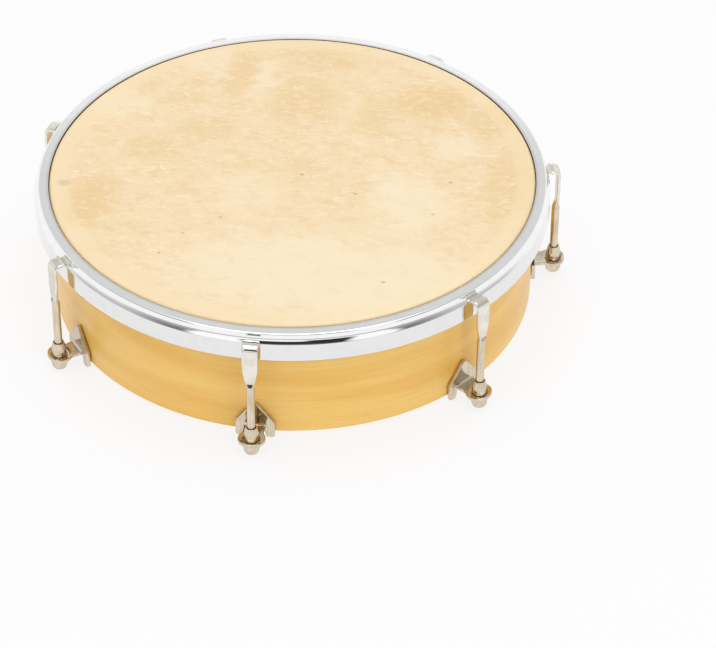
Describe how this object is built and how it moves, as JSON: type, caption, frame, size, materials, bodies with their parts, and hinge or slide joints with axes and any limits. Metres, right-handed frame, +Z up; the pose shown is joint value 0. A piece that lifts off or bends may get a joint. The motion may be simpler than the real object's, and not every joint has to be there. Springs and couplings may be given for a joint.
{
  "type": "hand drum",
  "caption": "Shallow round hand drum: natural skin on a wooden shell open below, pulled down by a chromed hoop, claw hooks and slotted nuts in brackets.",
  "frame": {"origin": "Middle of the base: centre of the box round the whole drum, on the plane of the seven nut ends that it stands on. The drum's own axis stands 5.35 mm behind the origin (+Y), because the front lug reaches further out than the hoop does at the back.", "axes": "+Z up, square to the playing surface; -Y out of the front lug"},
  "size_m": [0.2856, 0.2817, 0.0719],
  "materials": {
    "lacquered_wood": "clear lacquer over pale straight-grained wood",
    "natural_hide": "natural rawhide, matt, faintly mottled",
    "chromed_steel": "bright chrome plate",
    "nickelled_steel": "nickel plate, satin"
  },
  "bodies": {
    "root": {"shell": "lacquered_wood", "drum_head": "natural_hide", "counter_hoop": "chromed_steel", "tension_hook_1": "nickelled_steel", "tension_hook_2": "nickelled_steel", "tension_hook_3": "nickelled_steel", "tension_hook_4": "nickelled_steel", "tension_hook_5": "nickelled_steel", "tension_hook_6": "nickelled_steel", "tension_hook_7": "nickelled_steel", "bracket_1": "nickelled_steel", "bracket_2": "nickelled_steel", "bracket_3": "nickelled_steel", "bracket_4": "nickelled_steel", "bracket_5": "nickelled_steel", "bracket_6": "nickelled_steel", "bracket_7": "nickelled_steel", "tuning_nut_1": "nickelled_steel", "tuning_nut_2": "nickelled_steel", "tuning_nut_3": "nickelled_steel", "tuning_nut_4": "nickelled_steel", "tuning_nut_5": "nickelled_steel", "tuning_nut_6": "nickelled_steel", "tuning_nut_7": "nickelled_steel"}
  },
  "joints": []
}
